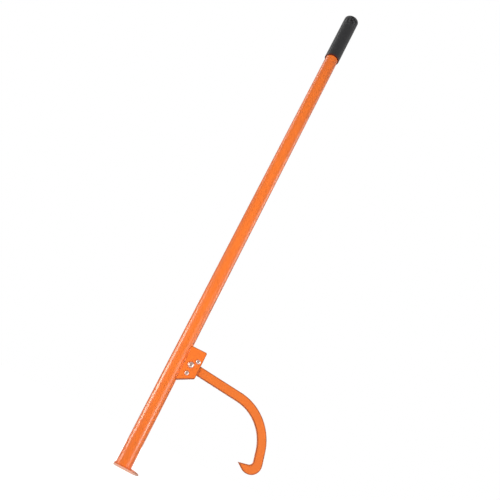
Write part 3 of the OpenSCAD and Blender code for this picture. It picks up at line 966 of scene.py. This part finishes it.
# %% [markdown]
# Behind the rear cheek each screw has a washer and a lock nut. The nut is a hexagon
# with chamfered corners, and on top of it a thin collar is rolled over the nylon ring
# that grips the thread. Screw, washer and nut differ only in size between the pivot
# and the stops, so one function makes the set at each of its places.

# %% Lock nuts and sets
# Shares of the nut's height: its hexagon, the seat of the nylon ring and the rolled lip
NUT_HEX, NUT_SEAT, NUT_LIP = 0.68, 0.74, 0.96
# Shares of its width across the flats: the collar, the nylon ring and the lip's opening
NUT_COLLAR, NUT_RING, NUT_OPENING = 0.46, 0.4, 0.35
NUT_CHAMFER_SHARE, NUT_CHAMFER_DEG, NUT_CHAMFER_ROWS = 0.96, 30, 4
NUT_COUNTERSINK, COLLAR_FOOT = 0.4 * MM, 0.3 * MM
# The collar's round: a share of its height and a length on top
COLLAR_ROUND_SHARE, COLLAR_ROUND, COLLAR_ROWS = 0.16, 0.5 * MM, 6
LIP_ROUND = (0.2 * MM, 0.15 * MM)
THREAD_GAP = 0.05 * MM


def nut(diameter, flats, height, at_y):
    """A hexagon with chamfered corners, a round collar rolled over the nylon ring, and the bore."""
    bore_r = diameter / 2 + THREAD_GAP
    hex_h, seat_h, lip_h = NUT_HEX * height, NUT_SEAT * height, NUT_LIP * height
    collar_r, ring_r, lip_r = NUT_COLLAR * flats, NUT_RING * flats, NUT_OPENING * flats
    chamfer_r = flats / 2 * NUT_CHAMFER_SHARE
    corner_r = flats / 2 / math.cos(math.pi / 6)
    slope = math.tan(math.radians(NUT_CHAMFER_DEG)) * (corner_r - chamfer_r)
    widening = [(k / NUT_CHAMFER_ROWS, chamfer_r + (corner_r - chamfer_r) * k / NUT_CHAMFER_ROWS)
                for k in range(NUT_CHAMFER_ROWS + 1)]
    stations = rounds((NUT_COUNTERSINK, bore_r), (0, bore_r + NUT_COUNTERSINK))
    stations += [(slope * share, r, flats) for share, r in widening]
    stations += [(hex_h - slope * share, r, flats) for share, r in widening[::-1]]
    stations += rounds((hex_h, collar_r + COLLAR_FOOT), (hex_h + COLLAR_FOOT, collar_r))
    edge = COLLAR_ROUND_SHARE * (height - hex_h) + COLLAR_ROUND
    stations += rounds(*((height - edge + edge * math.sin(t), collar_r - edge + edge * math.cos(t))
                         for t in np.radians(np.linspace(0, 90, COLLAR_ROWS))))
    wider, deeper = LIP_ROUND
    stations += rounds((height, lip_r + wider), (height - deeper, lip_r), (lip_h, lip_r),
                       (lip_h, ring_r), (seat_h, ring_r), (seat_h, bore_r))
    points, faces = turned(stations, ring=True)
    return points + [0, 0, at_y], faces


WASHER_T = 1.6 * MM
WASHER_CORNER = 0.2 * MM
# Width across the flats and height
PIVOT_NUT = (13 * MM, 8 * MM)
STOP_NUT = (10 * MM, 6 * MM)
SCREW_END = 1.5 * MM
CLAMPED = 2 * CHEEK_OUT + WASHER_T
PIVOT_PITCH, STOP_PITCH = 1.25 * MM, 1.0 * MM
# Shank without thread, under the head
PIVOT_PLAIN, STOP_PLAIN = CLAMPED + 3 * MM, 1.2 * MM


def fastener(kind, diameter, pitch, nut_size, threaded_from, places):
    """The screw, washer and nut of one size at each of its places, three pieces in all."""
    flats, nut_h = nut_size
    length = CLAMPED + nut_h + SCREW_END
    washer = ring_section(CHEEK_OUT, CHEEK_OUT + WASHER_T, diameter / 2 + HOLE_GAP, diameter, WASHER_CORNER)
    shapes = {"screw": screw(diameter, pitch, length, threaded_from, -CHEEK_OUT),
              "washer": turned(washer, ring=True),
              "nut": nut(diameter, flats, nut_h, CHEEK_OUT + WASHER_T)}
    plural = "s" if len(places) > 1 else ""
    for part, shape in shapes.items():
        parts = [placed for x, z in places for placed in stood_up([shape], x, z)]
        piece = make_piece("zinc_%s_%s%s" % (kind, part, plural), parts, zinc, "lever",
                           ["%s_%s%s" % (kind, part, plural)])
        if part == "screw":
            # Marks the depth in each socket, where the painted shade goes
            mark(piece, "socket", lambda x, y, z: in_socket(x, y, z, diameter, places))


fastener("pivot", PIVOT_D, PIVOT_PITCH, PIVOT_NUT, PIVOT_PLAIN, [(PIVOT_X, PIVOT_Z)])
fastener("stop", STOP_D, STOP_PITCH, STOP_NUT, STOP_PLAIN, STOPS)

# %% [markdown]
# The grip is one sleeve with a closed end, pushed on with a little soapy water. It was
# dipped, so its wall is never quite even: slow waves a tenth of a millimetre deep
# travel round and along it and break up the highlights. The section runs from the
# middle of the closed end over a soft edge, down the outside, round the lip at the
# mouth and back up inside to the middle again.

# %% Grip
GRIP_R = GRIP_HI[0]
GRIP_EDGE_R = 3 * MM
LIP_R = 0.9 * MM
GRIP_END_T = 3.5 * MM
GRIP_FIT = 0.05 * MM
CROWN = 0.35 * MM
BORE_CHAMFER = 0.3 * MM
END_ROWS, EDGE_ROWS, WALL_ROWS = 14, 12, 80
WAVE_DEPTH = 0.12 * MM
# Of each wave: turns round the grip, length of a radian along it, phase and share
WAVES = ((2, 19 * MM, 0.0, 0.25), (3, -11 * MM, 2.0, 0.25))
WAVE_FADE = 0.5 * MM


def grip_section():
    """Heights and radii: a crowned end, a quarter circle, the wall, a quarter circle at the mouth and the
    bore."""
    top, mouth = GRIP_HI[2], GRIP_LO[2]
    inner_r = TUBE_R + GRIP_FIT
    inner_top = top - GRIP_END_T
    turn = np.radians(np.linspace(0, 90, EDGE_ROWS))
    end_r = GRIP_R - GRIP_EDGE_R
    end = [(top - CROWN * (1 - (r / end_r) ** 2), r) for r in np.linspace(0, end_r, END_ROWS)[:-1]]
    edge = [(top - GRIP_EDGE_R * (1 - math.cos(t)), end_r + GRIP_EDGE_R * math.sin(t)) for t in turn]
    wall = [(z, GRIP_R) for z in np.linspace(top - GRIP_EDGE_R, mouth + LIP_R, WALL_ROWS)[1:]]
    lip = [(mouth + LIP_R * (1 - math.sin(t)), GRIP_R - LIP_R * (1 - math.cos(t))) for t in turn[1:]]
    bore = [(mouth, inner_r + BORE_CHAMFER), (mouth + BORE_CHAMFER, inner_r), (inner_top, inner_r),
            (inner_top, 0)]
    return np.array(end + edge + wall + lip + bore)


def grip_sleeve():
    """The section turned, less a wave that dies out at the closed end, at the mouth and inside."""
    section = grip_section()
    z, r = section[:, :1], section[:, 1:]
    angle = np.arange(COLUMNS * 2)[None] * math.pi / COLUMNS
    wave = 0.5 + sum(share * np.sin(turns * angle + z / length + phase)
                     for turns, length, phase, share in WAVES)
    outside = np.clip((r - GRIP_R + WAVE_FADE) / WAVE_FADE, 0, 1)
    radius = r - WAVE_DEPTH * wave * outside
    level = np.broadcast_to(z, radius.shape)
    return grid(np.stack([radius * np.cos(angle), radius * np.sin(angle), level], -1))


make_piece("vinyl_sleeve", [grip_sleeve()], vinyl, "lever", ["grip"])

# %% [markdown]
# Some nodes are right as they are: the tube, the bush inside the eye, the thrust
# washers and the nylon rings. They keep their shape and take a finish.

# %% Finishes of the construction's own nodes
OWN_NODES = {"shaft_tube": orange_coat, "pivot_bush": zinc, "front_thrust_washer": nylon,
             "rear_thrust_washer": nylon, "pivot_nut_insert": nylon, "stop_nut_inserts": nylon}
for node_name, finish in OWN_NODES.items():
    node_mesh = frame["nodes"][node_name].data
    node_mesh.materials.clear()
    node_mesh.materials.append(finish)
    print("%-20s %s" % (node_name, finish.name))

# %% [markdown]
# The stage is plain white. A white sheet lit by lamps would never be quite even, and
# it would throw its white up at the tube. The trick is the light path: the camera, a
# reflection or a glass sees the floor glow, and for all other light it is a plain
# matt sheet. A little diffuse is added to the glow, so that the object's shadow
# still shows.

# %% Floor
def seen_directly(node, camera_only=False):
    """1 where a ray comes straight from the camera and, unless camera_only, from a reflection or through
    glass."""
    ray = node("LightPath")
    if camera_only:
        return ray.outputs["Is Camera Ray"]
    both = node("Math", {"operation": "ADD"}, None,
                {0: ray.outputs["Is Camera Ray"], 1: ray.outputs["Is Glossy Ray"]})
    return node("Math", {"operation": "ADD", "use_clamp": True}, None,
                {0: both, 1: ray.outputs["Is Transmission Ray"]})


FLOOR_SIDE = 6.0
FLOOR_MATT = "#BCBCBC"
FLOOR_SHADED = "#B6B6B6"
FLOOR_GLOW = 0.92


def white_floor():
    """A square of paper: plain matt grey for the light it throws back, and a glow with a little diffuse
    for how it looks."""
    half = FLOOR_SIDE / 2
    mesh = bpy.data.meshes.new("floor")
    mesh.from_pydata([(-half, -half, 0), (half, -half, 0), (half, half, 0), (-half, half, 0)], [],
                     [(0, 1, 2, 3)])
    floor = bpy.data.objects.new("floor", mesh)
    scene.collection.objects.link(floor)
    material, node, _ = new_material("white_paper_floor")
    matt = node("BsdfDiffuse", None, {"Color": linear(FLOOR_MATT)})
    glow = node("Emission", None, {"Strength": FLOOR_GLOW})
    shaded = node("BsdfDiffuse", None, {"Color": linear(FLOOR_SHADED)})
    shown = node("AddShader", links={0: glow, 1: shaded})
    mixed = node("MixShader", links={0: seen_directly(node), 1: matt, 2: shown})
    node("OutputMaterial", links={"Surface": mixed})
    mesh.materials.append(material)


white_floor()
print("floor: %.0f m square" % FLOOR_SIDE)

# %% [markdown]
# The world does the same in three parts. The camera sees white. Reflections see the
# walls of a studio, pale in front, darker and then white again behind. Matt surfaces
# get a soft fill that is stronger from the front and the back than from the sides, so
# that the tube shades off toward its edges.

# %% World
FILL_SIDE = 0.19
FILL_FRONT = 0.20
# Positions from the front, 0, to the back, 1, with the grey of the wall there
WALLS = [(0.0, 1.0), (0.3, 0.8), (0.65, 1.1), (0.85, 0.4), (0.94, 0.15), (1.0, 1.0)]


def studio_world():
    """White to the camera, the walls to reflections, and to matt surfaces a fill of a + b y squared, where
    y is how far a direction points to the front or the back."""
    world = bpy.data.worlds.new("studio")
    scene.world = world
    world.use_nodes = True
    node = emptied(world.node_tree)
    place = node("TexCoord").outputs["Generated"]
    toward_back = node("SeparateXYZ", links={"Vector": place}).outputs["Y"]
    squared = node("Math", {"operation": "POWER"}, {1: 2.0}, {0: toward_back})
    soft = node("Math", {"operation": "MULTIPLY_ADD"}, {1: FILL_FRONT, 2: FILL_SIDE}, {0: squared})
    fill = node("Background", links={"Strength": soft})
    turned_to_back = node("MapRange", None, {"From Min": -1.0}, {"Value": toward_back})
    walls = node("ValToRGB", links={"Fac": turned_to_back})
    ramp = walls.color_ramp.elements
    for end, (_, grey) in zip(ramp, (WALLS[0], WALLS[-1])):
        end.color = (grey, grey, grey, 1)
    for position, grey in WALLS[1:-1]:
        ramp.new(position).color = (grey, grey, grey, 1)
    reflected = node("Background", links={"Color": walls})
    white = node("Background", None, {"Color": linear("#FFFFFF"), "Strength": 1.0})
    direct = node("MixShader", links={0: seen_directly(node, camera_only=True), 1: reflected, 2: white})
    mixed = node("MixShader", links={0: seen_directly(node), 1: fill, 2: direct})
    node("OutputWorld", links={"Surface": mixed})


studio_world()
print("fill light: %.2f from the sides, %.2f from the front" % (FILL_SIDE, FILL_SIDE + FILL_FRONT))

# %% [markdown]
# Upright strips draw the long highlights that run down the tube. A strip's turn about
# the shaft is twice the turn of the surface that shows it, and its height sets how far
# up the tube it is seen: two low ones serve the lower part and two high ones, further
# round, the upper part. They only shine: matt surfaces don't see them, so they whiten
# no colour. Two wide boxes do the opposite. They light the matt colour, mostly from
# the front, so the tube darkens toward its edges, and they stand low, so the lower
# half of the lever is a little brighter than its top. A third one stands behind, for
# views from the back.

# %% Lamps
# Of each lamp: turn in degrees, distance, height of its middle, width and height, watts
STRIPS = {"left_strip": (-84, 1.3, 0.22, (0.5, 0.65), 26),
          "right_strip": (61, 1.5, 0.08, (0.5, 0.26), 14),
          "high_right_strip": (102, 1.5, 1.15, (0.5, 1.3), 15),
          "high_left_strip": (-98, 1.4, 1.9, (0.5, 1.0), 9)}
BOXES = {"left_box": (-36, 1.3, 0.5, (0.6, 0.6), 9.8),
         "right_box": (46, 1.4, 0.45, (0.6, 0.6), 9.8),
         "back_box": (180, 1.3, 0.45, (0.8, 0.8), 14)}


def softbox(name, turn_deg, distance, middle_z, size, watts, shines):
    """A lamp turned about the shaft from the camera's side, positive to the right, facing the shaft. It
    either shines in gloss or lights matt surfaces."""
    turn = math.radians(turn_deg)
    data = bpy.data.lights.new(name, "AREA")
    data.shape = "RECTANGLE"
    data.size, data.size_y = size
    data.energy = watts
    lamp = bpy.data.objects.new(name, data)
    lamp.location = (distance * math.sin(turn), -distance * math.cos(turn), middle_z)
    lamp.rotation_euler = (Vector((0, 0, middle_z)) - lamp.location).to_track_quat("-Z", "Y").to_euler()
    lamp.visible_camera = False
    lamp.visible_glossy = shines
    lamp.visible_diffuse = not shines
    scene.collection.objects.link(lamp)
    print("%-16s %5.1f W at %s" % (name, watts, [round(v, 2) for v in lamp.location]))


for name, setting in STRIPS.items():
    softbox(name, *setting, shines=True)
for name, setting in BOXES.items():
    softbox(name, *setting, shines=False)
